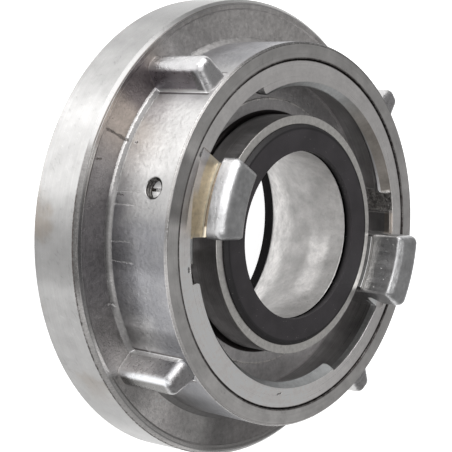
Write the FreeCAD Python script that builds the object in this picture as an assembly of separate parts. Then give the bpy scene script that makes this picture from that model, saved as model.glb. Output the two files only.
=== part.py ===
import FreeCAD, Part
import math
import os

# Quarter-turn claw coupling adapter for fire hose, size 75 to size 52, in cast aluminium.
# Frame: +Z is the waterway axis and points out of the small end. The origin is on the axis,
# in the plane of the large end's claw tips, on which the adapter stands. Millimetres.

V = FreeCAD.Vector
AXIS = V(0, 0, 1)

# Claw end, the same on both ends, counted outwards from the ring face
CLAW_SPAN = 29.6
CLAW_BREAK_R = 1.7
CLAW_BREAK_Z = 1.1
HOOK_WALL = 9.0
HOOK_LIP = 4.7
HOOK_ROOT = 1.2
HOOK_ROUND = 2.0
HOOK_CORNER = 2.2
CLAW_CORNER = 1.0
NECK_WALL = 4.0
NECK_BLEND = 1.0
LAND_DROP = 0.5
LAND_WIDTH = 1.6
LAND_SHIFT = 6.0
LEDGE_WALL = 6.6
LEDGE_NOSE = 2.4
LEDGE_BACK = 4.0
LEDGE_RAMP = 0.8
LEDGE_START = 49.7
LEDGE_END = 149.2
LEDGE_START_ROUND = 1.8
LEDGE_END_ROUND = 1.6
STOP_START = 156.2
STOP_PROUD = 1.1
STOP_DROP = 0.4
CHANNEL_DEPTH = 12.3
CLAW_COUNT = 2
HOOK_CLEARANCE = 0.3
COLLAR_CLEARANCE = 1.1
COLLAR_DROP = 1.0
COLLAR_WALL = 2.3
GASKET_PROUD = 0.2
GASKET_EDGE = 0.8
GASKET_CLEARANCE = 0.1

# Small end, size 52
FRONT_LUG_R = 33.0
FRONT_GASKET_BORE_R = 22.5
FRONT_GASKET_LIP = 2.6
FRONT_GASKET_LEG = 3.4
FRONT_GASKET_DEPTH = 8.2
FRONT_CLAW_REACH = 9.8
FRONT_CLAW_ANGLE = 160.7
FRONT_BEVEL_R = 41.1
FRONT_BEVEL_DEPTH = 1.8
FRONT_BEVEL_SHIFT = 1.4
FRONT_BEVEL_ANGLE = -15.0
SHELF_R = 36.3
SHELF_RISE = 0.5

# Large end, size 75
REAR_LUG_R = 44.5
REAR_GASKET_BORE_R = 32.2
REAR_GASKET_LIP = 3.6
REAR_GASKET_LEG = 5.5
REAR_GASKET_DEPTH = 8.2
REAR_CLAW_REACH = 9.0
REAR_CLAW_ANGLE = 90.0
REAR_BEVEL_DEPTH = 1.0

# Outer body: claw ring, flange, barrel and ribs
RING_WALL = 9.2
RIM_WIDTH = 13.6
RIM_TAPER = 0.4
RIM_EDGE = 1.0
RIM_LIP = 1.3
FACE_RECESS = 0.4
REAR_BEVEL = 6.0
BARREL_WALL = 4.5
BARREL_LENGTH = 20.15
BARREL_EDGE = 0.5
BARREL_FOOT = 1.3

# Spanner ribs on the barrel
RIB_COUNT = 4
RIB_ANGLE = 38.7
RIB_STEP = 88.6
RIB_HEIGHT = 7.2
RIB_LENGTH = 17.9
RIB_SLOPE = 1.2
RIB_BASE_WIDTH = 7.6
RIB_CREST_WIDTH = 5.6
RIB_ROUND = 2.3

# Insert and the groove that holds it in the body
INSERT_WALL = 4.1
INSERT_SETBACK = 0.35
RUNNING_CLEARANCE = 0.3
FLOOR_CLEARANCE = 0.4
BORE_STRAIGHT = 6.0
BORE_BREAK = 0.5
NOZZLE_R = 22.8
TAIL_R = 31.8
COLLAR_FOOT = 0.6

# Set screws through the barrel, their noses in the insert's groove
SCREW_COUNT = 3
SCREW_ANGLE = 162.3
SCREW_SETBACK = 6.45
SCREW_R = 2.5
SCREW_CLEARANCE = 0.1
SCREW_RECESS = 2.3
SCREW_LENGTH = 4.5
SCREW_NOSE_EDGE = 0.5
SCREW_SLOT_WIDTH = 0.9
SCREW_SLOT_DEPTH = 1.2
SCREW_MOUTH = 0.3
GROOVE_SIDE_CLEARANCE = 0.2
GROOVE_DEPTH_CLEARANCE = 0.2

# Heights that follow from the sizes above
REAR_FACE_Z = REAR_CLAW_REACH
RIM_REAR_Z = REAR_FACE_Z + REAR_BEVEL
RIM_FRONT_Z = RIM_REAR_Z + RIM_WIDTH + RIM_EDGE
FLANGE_FACE_Z = RIM_FRONT_Z - FACE_RECESS
BARREL_FRONT_Z = FLANGE_FACE_Z + BARREL_LENGTH
FRONT_FACE_Z = BARREL_FRONT_Z - INSERT_SETBACK
SCREW_Z = BARREL_FRONT_Z - SCREW_SETBACK
BLEND = 0.6


def hook_r(lug_r):
    """Outer radius of a claw's hook."""
    return lug_r + HOOK_WALL


def ring_r(lug_r):
    """Inner radius of the claw ring, just clear of the mating hooks."""
    return hook_r(lug_r) + HOOK_CLEARANCE


def collar_r(lug_r):
    """Outer radius of the seal collar, inside the mating claws."""
    return lug_r - COLLAR_CLEARANCE


# Radii that follow from the two ends
FLANGE_R = ring_r(REAR_LUG_R) + RING_WALL
INSERT_R = ring_r(FRONT_LUG_R) + INSERT_WALL
BODY_BORE_R = INSERT_R + RUNNING_CLEARANCE
BARREL_R = BODY_BORE_R + BARREL_WALL
RIB_CREST_R = BARREL_R + RIB_HEIGHT


def outline(start, steps):
    """Face in the XZ plane. A step is (r, z), or a pair of points: an arc's middle and end."""
    edges = []
    here = V(start[0], 0, start[1])
    for step in steps:
        if isinstance(step[0], tuple):
            middle = V(step[0][0], 0, step[0][1])
            there = V(step[1][0], 0, step[1][1])
            edges.append(Part.Arc(here, middle, there).toShape())
        else:
            there = V(step[0], 0, step[1])
            edges.append(Part.makeLine(here, there))
        here = there
    first = V(start[0], 0, start[1])
    if here.distanceToPoint(first) > 1e-6:
        edges.append(Part.makeLine(here, first))
    return Part.Face(Part.Wire(edges))


def turned(start, steps, angle=0.0, span=360.0):
    """Solid of revolution about Z, from angle on, span degrees anticlockwise."""
    solid = outline(start, steps).revolve(V(0, 0, 0), AXIS, span)
    return solid.rotate(V(0, 0, 0), AXIS, angle)


def quarter_arc(corner, leave, arrive):
    """Arc step of a quarter round in an inside or outside corner, between two tangent points."""
    centre = (leave[0] + arrive[0] - corner[0], leave[1] + arrive[1] - corner[1])
    radius = math.dist(centre, leave)
    pull = radius / math.dist(centre, corner)
    middle = (centre[0] + (corner[0] - centre[0]) * pull, centre[1] + (corner[1] - centre[1]) * pull)
    return (middle, arrive)


def fused(shapes):
    """One solid of touching or overlapping shapes, without seam edges."""
    whole = shapes[0].multiFuse(shapes[1:])
    return whole.removeSplitter()


def upright_edges_at(shape, radius):
    """Edges along Z at a radius from the axis, with their angles."""
    found = []
    for edge in shape.Edges:
        if len(edge.Vertexes) != 2:
            continue
        low, high = (vertex.Point for vertex in edge.Vertexes)
        if math.hypot(low.x - high.x, low.y - high.y) > 1e-4:
            continue
        if abs(math.hypot(low.x, low.y) - radius) < 1e-3:
            found.append((math.degrees(math.atan2(low.y, low.x)), edge))
    return found


def angle_gap(first, second):
    """Smallest angle between two directions, in degrees."""
    return abs((first - second + 180.0) % 360.0 - 180.0)


def claw(lug_r, reach, root_z, angle):
    """One hooked claw, from the channel floor to its tip. The ring face is at z = 0."""
    outer = hook_r(lug_r)
    neck = lug_r + NECK_WALL
    foot = ring_r(lug_r) + BLEND
    steps = [
        (lug_r, reach - CLAW_BREAK_Z),
        (lug_r + CLAW_BREAK_R, reach),
        (outer - HOOK_ROUND, reach),
        quarter_arc((outer, reach), (outer - HOOK_ROUND, reach), (outer, reach - HOOK_ROUND)),
        (outer, HOOK_LIP),
        (neck, HOOK_ROOT),
        (neck, NECK_BLEND - LAND_DROP),
        quarter_arc((neck, -LAND_DROP), (neck, NECK_BLEND - LAND_DROP), (neck + NECK_BLEND, -LAND_DROP)),
        (foot, -LAND_DROP),
        (foot, root_z),
    ]
    body = turned((lug_r, root_z), steps, angle - CLAW_SPAN / 2, CLAW_SPAN)
    for radius, rounding in ((outer, HOOK_CORNER), (lug_r, CLAW_CORNER)):
        body = body.makeFillet(rounding, [edge for where, edge in upright_edges_at(body, radius)])
    return body


def claw_web(lug_r, root_z, angle):
    """Web with a sloped top that joins a claw's inner face to the seal collar."""
    collar = collar_r(lug_r)
    inner = collar - BLEND
    outer = lug_r + BLEND
    low = -COLLAR_DROP - BLEND
    span = CLAW_SPAN - 2 * math.degrees(CLAW_CORNER / lug_r)
    steps = [(inner, low), (collar, low), (outer, low + outer - collar), (outer, root_z)]
    return turned((inner, root_z), steps, angle - span / 2, span)


def claw_lands(lug_r, claw_angle):
    """Cutting tools for the milled lands before the claws' necks, their outer edges off centre."""
    inner = lug_r + NECK_WALL + NECK_BLEND + BLEND
    land_r = ring_r(lug_r) + LAND_WIDTH
    outer = land_r + LAND_SHIFT
    tools = []
    for index in range(CLAW_COUNT):
        angle = claw_angle + index * 360.0 / CLAW_COUNT
        steps = [(outer, -LAND_DROP), (outer, LAND_DROP), (inner, LAND_DROP)]
        sector = turned((inner, -LAND_DROP), steps, angle - CLAW_SPAN / 2, CLAW_SPAN)
        centre = V(0, -LAND_SHIFT, -LAND_DROP)
        sweep = Part.makeCylinder(land_r, 2 * LAND_DROP, centre, AXIS).rotate(V(0, 0, 0), AXIS, angle)
        tools.append(sector.common(sweep))
    return tools


def ledge(lug_r, claw_angle, bevel):
    """One holding ledge, clockwise from its entry to its stop, with a helical back."""
    inner = lug_r + LEDGE_WALL
    wall = ring_r(lug_r) + BLEND
    rise = ring_r(lug_r) - inner
    thick = LEDGE_BACK + LEDGE_RAMP + rise
    entry = claw_angle - LEDGE_START
    stop = claw_angle - LEDGE_END
    span = entry - stop
    body = turned((inner, 0), [(wall, 0), (wall, -thick), (inner, -thick)], stop, span)
    for corner, radius in ((entry, LEDGE_START_ROUND), (stop, LEDGE_END_ROUND)):
        edges = [edge for where, edge in upright_edges_at(body, inner) if angle_gap(where, corner) < 1]
        body = body.makeFillet(radius, edges)
    sections = []
    for part in range(5):
        share = part / 4 * 1.04 - 0.02
        drop = LEDGE_NOSE + LEDGE_RAMP * share
        points = [
            (inner - 1, -drop + 1),
            (wall + 1, -drop - (wall + 1 - inner)),
            (wall + 1, -thick - 2),
            (inner - 1, -thick - 2),
        ]
        corners = [V(r, 0, z) for r, z in points + points[:1]]
        section = Part.makePolygon(corners)
        sections.append(section.rotate(V(0, 0, 0), AXIS, entry - span * share))
    body = body.cut(Part.makeLoft(sections, True))
    return body.cut(bevel)


def stop_lug(lug_r, root_z, claw_angle):
    """Low lug on the ring's wall, before the next claw, that ends the quarter turn."""
    wall = ring_r(lug_r)
    start = claw_angle - 360.0 / CLAW_COUNT + CLAW_SPAN / 2 - BLEND
    span = claw_angle - STOP_START - start
    steps = [(wall + BLEND, -STOP_DROP), (wall + BLEND, root_z), (wall - STOP_PROUD, root_z)]
    return turned((wall - STOP_PROUD, -STOP_DROP), steps, start, span)


def claw_end(lug_r, reach, root_z, claw_angle, bevel):
    """Claws, ledges and stop lugs of one end, its ring face at z = 0 and facing +Z."""
    pieces = []
    for index in range(CLAW_COUNT):
        angle = claw_angle + index * 360.0 / CLAW_COUNT
        pieces.append(claw(lug_r, reach, root_z, angle))
        pieces.append(ledge(lug_r, angle, bevel))
        pieces.append(stop_lug(lug_r, -CHANNEL_DEPTH - BLEND, angle))
    return pieces


def bevel_tool(front_r, depth, shift, angle):
    """Countersink of 45 degrees off the ledges' inner edge, its centre shifted off the axis."""
    cone = Part.makeCone(front_r - depth - 4, front_r + 1, depth + 5, V(0, 0, -depth - 4), AXIS)
    offset = V(shift * math.cos(math.radians(angle)), shift * math.sin(math.radians(angle)), 0)
    return cone.translate(offset)


def to_front(shape):
    """From a claw end's own frame to the small end."""
    return shape.translate(V(0, 0, FRONT_FACE_Z))


def to_rear(shape):
    """From a claw end's own frame to the large end, which faces down."""
    return shape.rotate(V(0, 0, 0), V(1, 0, 0), 180).translate(V(0, 0, REAR_FACE_Z))


def rib(angle):
    """Spanner rib with drafted flanks, a round crest and a sloped front end."""
    low = FLANGE_FACE_Z - BLEND
    top = FLANGE_FACE_Z + RIB_LENGTH
    foot_r = BARREL_R - BLEND
    side = outline((foot_r, low), [
        (RIB_CREST_R, low),
        (RIB_CREST_R, top),
        (foot_r, top + RIB_SLOPE),
    ])
    side.translate(V(0, -RIB_BASE_WIDTH, 0))
    profile = side.extrude(V(0, 2 * RIB_BASE_WIDTH, 0))
    corners = [
        V(foot_r, -RIB_BASE_WIDTH / 2, low),
        V(RIB_CREST_R, -RIB_CREST_WIDTH / 2, low),
        V(RIB_CREST_R, RIB_CREST_WIDTH / 2, low),
        V(foot_r, RIB_BASE_WIDTH / 2, low),
    ]
    section = Part.Face(Part.makePolygon(corners + corners[:1]))
    solid = profile.common(section.extrude(V(0, 0, RIB_LENGTH + RIB_SLOPE + 2 * BLEND)))
    rounded = []
    for edge in solid.Edges:
        ends = [vertex.Point for vertex in edge.Vertexes]
        off_barrel = any(abs(point.x - RIB_CREST_R) < 1e-4 for point in ends)
        off_flange = any(point.z > low + BLEND for point in ends)
        if off_barrel and off_flange:
            rounded.append(edge)
    solid = solid.makeFillet(RIB_ROUND, rounded)
    return solid.rotate(V(0, 0, 0), AXIS, angle)


def radial_place(shape, angle):
    """Turns a shape that was made along +X at the screws' height to its angle."""
    return shape.translate(V(0, 0, SCREW_Z)).rotate(V(0, 0, 0), AXIS, angle)


def screw_hole(angle):
    """Through hole in the barrel for a set screw, with a broken mouth."""
    radius = SCREW_R + SCREW_CLEARANCE
    start = INSERT_R - 1
    hole = Part.makeCylinder(radius, BARREL_R + 1 - start, V(start, 0, 0), V(1, 0, 0))
    mouth = Part.makeCone(radius, radius + SCREW_MOUTH + 1, SCREW_MOUTH + 1,
                          V(BARREL_R - SCREW_MOUTH, 0, 0), V(1, 0, 0))
    return radial_place(hole.fuse(mouth), angle)


def set_screw(angle):
    """Slotted set screw, sunk in the barrel, its slot along the waterway."""
    outer = BARREL_R - SCREW_RECESS
    inner = outer - SCREW_LENGTH
    straight = SCREW_LENGTH - SCREW_NOSE_EDGE
    shank = Part.makeCylinder(SCREW_R, straight, V(inner + SCREW_NOSE_EDGE, 0, 0), V(1, 0, 0))
    nose = Part.makeCone(SCREW_R - SCREW_NOSE_EDGE, SCREW_R, SCREW_NOSE_EDGE,
                         V(inner, 0, 0), V(1, 0, 0))
    slot = Part.makeBox(SCREW_SLOT_DEPTH + 1, SCREW_SLOT_WIDTH, 3 * SCREW_R,
                        V(outer - SCREW_SLOT_DEPTH, -SCREW_SLOT_WIDTH / 2, -1.5 * SCREW_R))
    return radial_place(fused([shank, nose]).cut(slot), angle)


def outer_body():
    """Claw ring of the large end, flange, ribbed barrel and screw holes, in one casting."""
    wall = ring_r(REAR_LUG_R)
    floor_z = REAR_FACE_Z + CHANNEL_DEPTH
    rim_front_r = FLANGE_R - RIM_TAPER
    lip_r = rim_front_r - RIM_EDGE - RIM_LIP
    shell = turned((wall, REAR_FACE_Z), [
        (FLANGE_R - REAR_BEVEL, REAR_FACE_Z),
        (FLANGE_R, RIM_REAR_Z),
        (rim_front_r, RIM_REAR_Z + RIM_WIDTH),
        (rim_front_r - RIM_EDGE, RIM_FRONT_Z),
        (lip_r, RIM_FRONT_Z),
        (lip_r - FACE_RECESS, FLANGE_FACE_Z),
        (BARREL_R + BARREL_FOOT, FLANGE_FACE_Z),
        (BARREL_R, FLANGE_FACE_Z + BARREL_FOOT),
        (BARREL_R, BARREL_FRONT_Z - BARREL_EDGE),
        (BARREL_R - BARREL_EDGE, BARREL_FRONT_Z),
        (BODY_BORE_R, BARREL_FRONT_Z),
        (BODY_BORE_R, floor_z),
        (wall, floor_z),
    ])
    ledge_r = REAR_LUG_R + LEDGE_WALL
    bevel = bevel_tool(ledge_r + REAR_BEVEL_DEPTH, REAR_BEVEL_DEPTH, 0.0, 0.0)
    pieces = [shell]
    root_z = -CHANNEL_DEPTH - BLEND
    for piece in claw_end(REAR_LUG_R, REAR_CLAW_REACH, root_z, REAR_CLAW_ANGLE, bevel):
        pieces.append(to_rear(piece))
    for index in range(RIB_COUNT):
        pieces.append(rib(RIB_ANGLE + index * RIB_STEP))
    body = fused(pieces)
    for land in claw_lands(REAR_LUG_R, REAR_CLAW_ANGLE):
        body = body.cut(to_rear(land))
    clear_z = floor_z - FLOOR_CLEARANCE
    clearing = turned((0, clear_z), [(BODY_BORE_R, clear_z), (BODY_BORE_R, BARREL_FRONT_Z),
                                     (0, BARREL_FRONT_Z)])
    body = body.cut(clearing)
    for index in range(SCREW_COUNT):
        body = body.cut(screw_hole(SCREW_ANGLE + index * 360.0 / SCREW_COUNT))
    return body


def gasket_section(bore_r, outer_r, lip, leg, depth):
    """Corner points of a seal's section, its sealing face at z = 0 and its leg below."""
    return (bore_r, 0), [
        (outer_r - GASKET_EDGE, 0),
        (outer_r, -GASKET_EDGE),
        (outer_r, -depth),
        (outer_r - leg, -depth),
        (outer_r - leg, -lip),
        (bore_r, -lip),
    ]


def gasket(lug_r, bore_r, lip, leg, depth):
    """Rubber seal ring, with a lip over the nozzle and a leg in the collar."""
    outer_r = collar_r(lug_r) - COLLAR_WALL - GASKET_CLEARANCE
    start, steps = gasket_section(bore_r, outer_r, lip, leg, depth)
    return turned(start, steps).translate(V(0, 0, GASKET_PROUD))


def flare_point(straight_z, rim_z):
    """Middle of the waterway's flare, an arc that leaves the straight bore without a crease."""
    widening = TAIL_R - NOZZLE_R
    length = straight_z - rim_z
    radius = (widening ** 2 + length ** 2) / (2 * widening)
    half = math.asin(length / radius) / 2
    return (NOZZLE_R + radius * (1 - math.cos(half)), straight_z - radius * math.sin(half))


def insert_body():
    """Claw ring of the small end, waterway and both seal collars, in one casting."""
    wall = ring_r(FRONT_LUG_R)
    front_collar = collar_r(FRONT_LUG_R)
    front_pocket = front_collar - COLLAR_WALL
    front_leg_r = front_pocket - GASKET_CLEARANCE - FRONT_GASKET_LEG - GASKET_CLEARANCE
    front_rim_z = FRONT_FACE_Z + GASKET_PROUD - FRONT_GASKET_LIP
    front_deep_z = FRONT_FACE_Z + GASKET_PROUD - FRONT_GASKET_DEPTH
    collar_top_z = FRONT_FACE_Z - COLLAR_DROP
    floor_z = FRONT_FACE_Z - CHANNEL_DEPTH
    shelf_z = floor_z + SHELF_RISE
    rear_collar = collar_r(REAR_LUG_R)
    rear_pocket = rear_collar - COLLAR_WALL
    rear_leg_r = rear_pocket - GASKET_CLEARANCE - REAR_GASKET_LEG - GASKET_CLEARANCE
    rear_rim_z = REAR_FACE_Z - GASKET_PROUD + REAR_GASKET_LIP
    rear_deep_z = REAR_FACE_Z - GASKET_PROUD + REAR_GASKET_DEPTH
    rear_collar_z = REAR_FACE_Z + COLLAR_DROP
    disc_z = REAR_FACE_Z + CHANNEL_DEPTH
    groove_half = SCREW_R + GROOVE_SIDE_CLEARANCE
    groove_r = BARREL_R - SCREW_RECESS - SCREW_LENGTH - GROOVE_DEPTH_CLEARANCE
    straight_z = front_rim_z - BORE_STRAIGHT
    flare_middle = flare_point(straight_z, rear_rim_z)
    shell = turned((NOZZLE_R + BORE_BREAK, front_rim_z), [
        (front_leg_r, front_rim_z),
        (front_leg_r, front_deep_z),
        (front_pocket, front_deep_z),
        (front_pocket, collar_top_z),
        (front_collar, collar_top_z),
        (front_collar, shelf_z + COLLAR_FOOT),
        (front_collar + COLLAR_FOOT, shelf_z),
        (SHELF_R, shelf_z),
        (SHELF_R, floor_z),
        (wall, floor_z),
        (wall, FRONT_FACE_Z),
        (INSERT_R, FRONT_FACE_Z),
        (INSERT_R, SCREW_Z + groove_half),
        (groove_r, SCREW_Z + groove_half),
        (groove_r, SCREW_Z - groove_half),
        (INSERT_R, SCREW_Z - groove_half),
        (INSERT_R, disc_z),
        (rear_collar, disc_z),
        (rear_collar, rear_collar_z),
        (rear_pocket, rear_collar_z),
        (rear_pocket, rear_deep_z),
        (rear_leg_r, rear_deep_z),
        (rear_leg_r, rear_rim_z),
        (TAIL_R, rear_rim_z),
        (flare_middle, (NOZZLE_R, straight_z)),
        (NOZZLE_R, front_rim_z - BORE_BREAK),
    ])
    bevel = bevel_tool(FRONT_BEVEL_R, FRONT_BEVEL_DEPTH, FRONT_BEVEL_SHIFT, FRONT_BEVEL_ANGLE)
    pieces = [shell]
    root_z = -CHANNEL_DEPTH - BLEND
    for piece in claw_end(FRONT_LUG_R, FRONT_CLAW_REACH, root_z, FRONT_CLAW_ANGLE, bevel):
        pieces.append(to_front(piece))
    for index in range(CLAW_COUNT):
        web = claw_web(FRONT_LUG_R, root_z, FRONT_CLAW_ANGLE + index * 360.0 / CLAW_COUNT)
        pieces.append(to_front(web))
    body = fused(pieces)
    for land in claw_lands(FRONT_LUG_R, FRONT_CLAW_ANGLE):
        body = body.cut(to_front(land))
    return body


def export(name, shape):
    """Writes one checked solid to the parts folder."""
    if not shape.isValid():
        raise ValueError(name + " is not a valid solid")
    solids = shape.Solids
    print(name, len(solids), "solid,", round(shape.Volume / 1000, 2), "cm3")
    shape.exportStep("parts/" + name + ".step")


os.makedirs("parts", exist_ok=True)
export("outer_body", outer_body())
export("insert_body", insert_body())
export("front_gasket", to_front(gasket(FRONT_LUG_R, FRONT_GASKET_BORE_R, FRONT_GASKET_LIP,
                                       FRONT_GASKET_LEG, FRONT_GASKET_DEPTH)))
export("rear_gasket", to_rear(gasket(REAR_LUG_R, REAR_GASKET_BORE_R, REAR_GASKET_LIP,
                                     REAR_GASKET_LEG, REAR_GASKET_DEPTH)))
for number in range(SCREW_COUNT):
    export("set_screw_" + str(number + 1), set_screw(SCREW_ANGLE + number * 360.0 / SCREW_COUNT))
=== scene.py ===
import math
from types import SimpleNamespace

import bmesh
import bpy
from mathutils import Matrix, Vector


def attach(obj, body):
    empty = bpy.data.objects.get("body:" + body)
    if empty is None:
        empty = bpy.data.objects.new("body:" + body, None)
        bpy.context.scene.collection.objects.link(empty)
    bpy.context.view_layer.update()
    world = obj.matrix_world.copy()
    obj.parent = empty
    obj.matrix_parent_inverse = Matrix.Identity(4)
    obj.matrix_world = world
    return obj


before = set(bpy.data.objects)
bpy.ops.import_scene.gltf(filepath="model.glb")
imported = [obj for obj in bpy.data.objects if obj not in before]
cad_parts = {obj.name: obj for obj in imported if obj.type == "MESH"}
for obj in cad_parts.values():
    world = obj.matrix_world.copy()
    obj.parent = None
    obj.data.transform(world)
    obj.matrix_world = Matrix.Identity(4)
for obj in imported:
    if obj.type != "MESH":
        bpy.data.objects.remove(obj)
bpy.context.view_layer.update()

MM = 0.001
FULL_TURN = 360.0

# Camera, in millimetres in the part's frame, with how near and far it sees, in metres
CAMERA_PLACE = (-276.8, 45.8, 274.6)
CAMERA_RIGHT = (0.6738, 0.0, 0.7389)
CAMERA_UP = (0.0892, 0.9927, -0.0813)
CAMERA_LENS = 107.4
SENSOR_WIDTH = 36.0
CAMERA_NEAR = 0.01
CAMERA_FAR = 100.0

# Lamps: name, place in metres, size in metres, power in watts
LAMPS = (
    ("lamp_top", (-0.3, 0.9, 0.5), 1.0, 10),
    ("lamp_camera", (-0.8, 0.2, 0.75), 1.5, 9),
)
LAMP_AIM = (0, 0, 0.03)
SURROUND_GREY = 0.8
SURROUND_STRENGTH = 0.45
FLOOR_HALF = 30.0
FLOOR_SEEN = 0.86
FLOOR_MIRRORED = 0.72

# Radii and heights of the outer body where its finish changes, in millimetres
RIM_R = 61.4
LIP_R = 60.1
FLANGE_FACE_Z = 29.2
RIM_EDGE_Z = 28.68
BARREL_R = 51.2
BARREL_FRONT_Z = 49.35
BODY_BORE_R = 46.7
RIB_CREST_R = 58.4
RIB_TOP_Z = 47.1
RIB_HALF_WIDTH = 3.6
RIB_ANGLE = 38.7
RIB_STEP = 88.6
UPPER_RIB = RIB_ANGLE + RIB_STEP
LOWER_RIB = RIB_ANGLE + 2 * RIB_STEP - FULL_TURN

# The same for the insert
RING_FACE_Z = 49.0
RING_WALL_R = 42.3
CLAW_ANGLE = 160.7
CLAW_INNER_R = 33.2
HOOK_R = 42.0
LAND_LOW_Z = 48.3
LAND_TOP_Z = 48.7
STOP_ANGLES = (8.0, -172.0)
COLLAR_R = 31.9
COLLAR_TOP_Z = 48.0
POCKET_R = 29.6
SHELF_Z = 37.2
SHELF_EDGE_R = 35.9

# Threaded holes in the barrel
SCREW_ANGLES = (162.3, 282.3, 42.3)
SCREW_Z = 42.9
SCREW_TOP_R = 48.9
MOUTH_R = 2.7
MOUTH_RIM_R = 3.0
MOUTH_CORE = 0.97
THREAD_ROOT_R = 2.58
THREAD_CREST_R = 2.25
THREAD_PITCH = 0.8
THREAD_HALF = 0.38
THREAD_STEPS = 24
THREAD_SHORT = 0.15

# Parts of a noise's range that its values mostly fill, on each side of a half
MOST = 0.2
WIDE = 0.25

# Patches round the axis, painted light and shade: each side made lighter or darker as it catches
# the lamps and reflections. Angle, half width and softness in degrees, then what the tone is multiplied by
BARREL_PATCHES = (
    (167.0, 4.0, 7.0, 0.8), (-179.0, 2.0, 4.0, 0.8), (-166.0, 6.0, 5.0, 1.12),
    (-154.0, 1.0, 3.0, 0.66), (-116.0, 8.0, 10.0, 0.56),
)
FACE_PATCHES = (
    (110.0, 3.0, 8.0, 0.8), (150.0, 6.0, 8.0, 0.72), (166.0, 3.0, 5.0, 0.85),
    (-154.0, 5.0, 5.0, 0.66), (-121.0, 9.0, 7.0, 1.7), (-92.0, 8.0, 6.0, 0.74),
)
RIM_PATCHES = (
    (105.0, 8.0, 8.0, 0.74), (140.0, 6.0, 8.0, 1.28), (-179.0, 3.0, 6.0, 0.7),
    (-150.0, 14.0, 8.0, 0.88), (-104.0, 5.0, 8.0, 1.8),
)
RING_PATCHES = ((-115.0, 18.0, 16.0, 1.18), (161.0, 7.0, 5.0, 0.42), (90.0, 40.0, 30.0, 0.88))
SHELF_PATCHES = ((122.0, 14.0, 14.0, 0.85), (-112.0, 20.0, 15.0, 1.12))
BEVEL_PATCHES = (
    (12.0, 1.0, 8.0, 0.45), (-152.0, 20.0, 8.0, 0.55), (-46.0, 12.0, 6.0, 1.7),
    (30.0, 10.0, 8.0, 0.8), (82.0, 12.0, 10.0, 1.35),
)

# Layers round the axis, each over the one before: angle, half width and softness, then the grey or colour
# there.
# The greys are painted light and shade, each side's tone as the lamps and reflections fall on it
FACE_TINTS = (
    (92.0, 20.0, 22.0, (0.56, 0.54, 0.53)), (146.0, 12.0, 14.0, (0.41, 0.36, 0.325)),
    (174.0, 12.0, 16.0, (0.24, 0.228, 0.23)), (134.5, 3.0, 5.0, (0.17, 0.15, 0.15)),
    (-136.0, 8.0, 8.0, (0.55, 0.53, 0.52)), (-108.0, 6.0, 10.0, (0.32, 0.31, 0.305)),
)
RIM_GREYS = (
    (160.0, 8.0, 10.0, 0.52), (-178.0, 9.0, 8.0, 0.33), (-150.0, 18.0, 10.0, 0.35),
    (118.0, 14.0, 14.0, 0.31),
)
LIP_SLOPE_GREYS = ((178.0, 6.0, 8.0, 0.1), (-138.0, 22.0, 14.0, 0.62))
LIP_FLAT_GREYS = ((176.0, 5.0, 8.0, 0.17), (-138.0, 22.0, 14.0, 0.6))
FOOT_GREYS = (
    (146.0, 12.0, 12.0, 0.15), (92.0, 16.0, 10.0, 0.46), (178.0, 8.0, 8.0, 0.19),
    (-163.0, 7.0, 5.0, 0.34),
)
BRINK_GREYS = ((145.0, 16.0, 14.0, 0.36), (-70.0, 100.0, 20.0, 0.55))

# Scratches and cuts: two end points and a width, in millimetres
BODY_CUTS = (
    ((-51.2, 29.6, 29.2), (-47.0, 27.6, 29.2), 0.35),
    ((-47.0, 27.6, 29.2), (-45.0, 26.7, 29.7), 0.6),
    ((-44.9, 26.6, 29.9), (-44.1, 26.0, 32.6), 0.45),
    ((-57.9, 22.5, 29.9), (-56.0, 22.4, 29.8), 0.3),
    ((-54.7, 22.3, 29.2), (-53.1, 22.2, 29.2), 0.28),
    ((-49.4, 13.3, 31.0), (-49.5, 13.3, 33.3), 0.22),
    ((-57.3, 25.7, 29.7), (-58.6, 22.8, 29.4), 0.35),
)
BODY_SCRATCHES = (
    ((-49.2, 14.0, 29.6), (-49.1, 14.5, 39.6), 0.2),
    ((-50.0, 11.0, 30.0), (-50.0, 11.1, 37.5), 0.28),
    ((-51.2, 1.8, 30.5), (-51.2, 2.2, 36.8), 0.22),
    ((-51.1, -3.0, 29.6), (-51.1, -3.1, 38.0), 0.22),
    ((-44.4, -25.5, 35.7), (-43.4, -27.2, 36.5), 0.45),
    ((-51.3, -14.2, 29.4), (-49.4, -14.7, 29.8), 0.4),
)
RING_CUTS = (
    ((-37.4, 24.6, 49.0), (-38.4, 23.4, 49.0), 0.7),
    ((-9.2, -41.8, 49.0), (-7.7, -41.7, 49.0), 0.28),
    ((-42.8, -4.2, 49.0), (-42.7, -5.0, 49.0), 0.45),
)
COLLAR_BURR = ((-19.3, -22.9, 48.0), (-18.9, -22.3, 48.2), 0.4)

# Softening of edges: everywhere, and on claws and the barrel's foot, in millimetres
EDGE_SOFT = 0.25
EDGE_CAST = 0.9
BUMP_DEPTH = 0.12


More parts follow.
